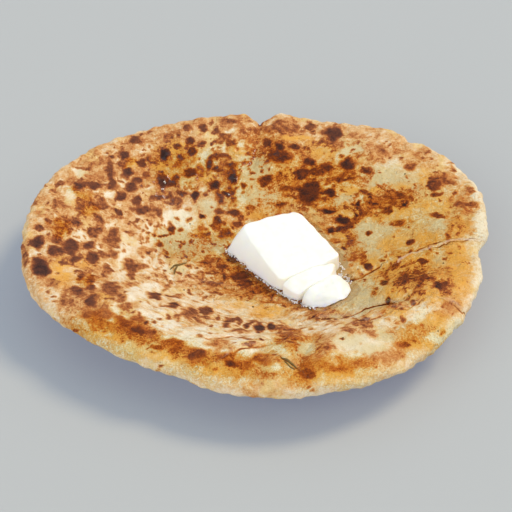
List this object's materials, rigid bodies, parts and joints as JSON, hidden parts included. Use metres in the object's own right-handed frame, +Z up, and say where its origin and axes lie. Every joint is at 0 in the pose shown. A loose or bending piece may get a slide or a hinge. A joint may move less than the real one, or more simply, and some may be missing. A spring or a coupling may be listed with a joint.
{
  "type": "aloo paratha",
  "caption": "Round stuffed flatbread, browned on a griddle and sagging to a shallow dish, with a partly sliced bar of butter melting in its middle.",
  "frame": {"origin": "under the middle of the whole object, at the level it rests on", "axes": "+Z up, +X to the viewer's right along the bread's longest side, +Y away from the viewer"},
  "size_m": [0.211, 0.203, 0.03],
  "materials": {
    "toasted_dough": "toasted wheat dough: cream to golden with dark brown blisters, buttery sheen in the middle",
    "butter": "soft ivory butter with a wet, melting edge",
    "melted_butter": "thin clear golden film with small bubbles",
    "herb": "small fleck of cooked green leaf and dark seeds"
  },
  "bodies": {
    "root": {"paratha": "toasted_dough", "butter_block": "butter", "butter_inner_slice": "butter", "butter_end_slice": "butter"}
  },
  "joints": []
}
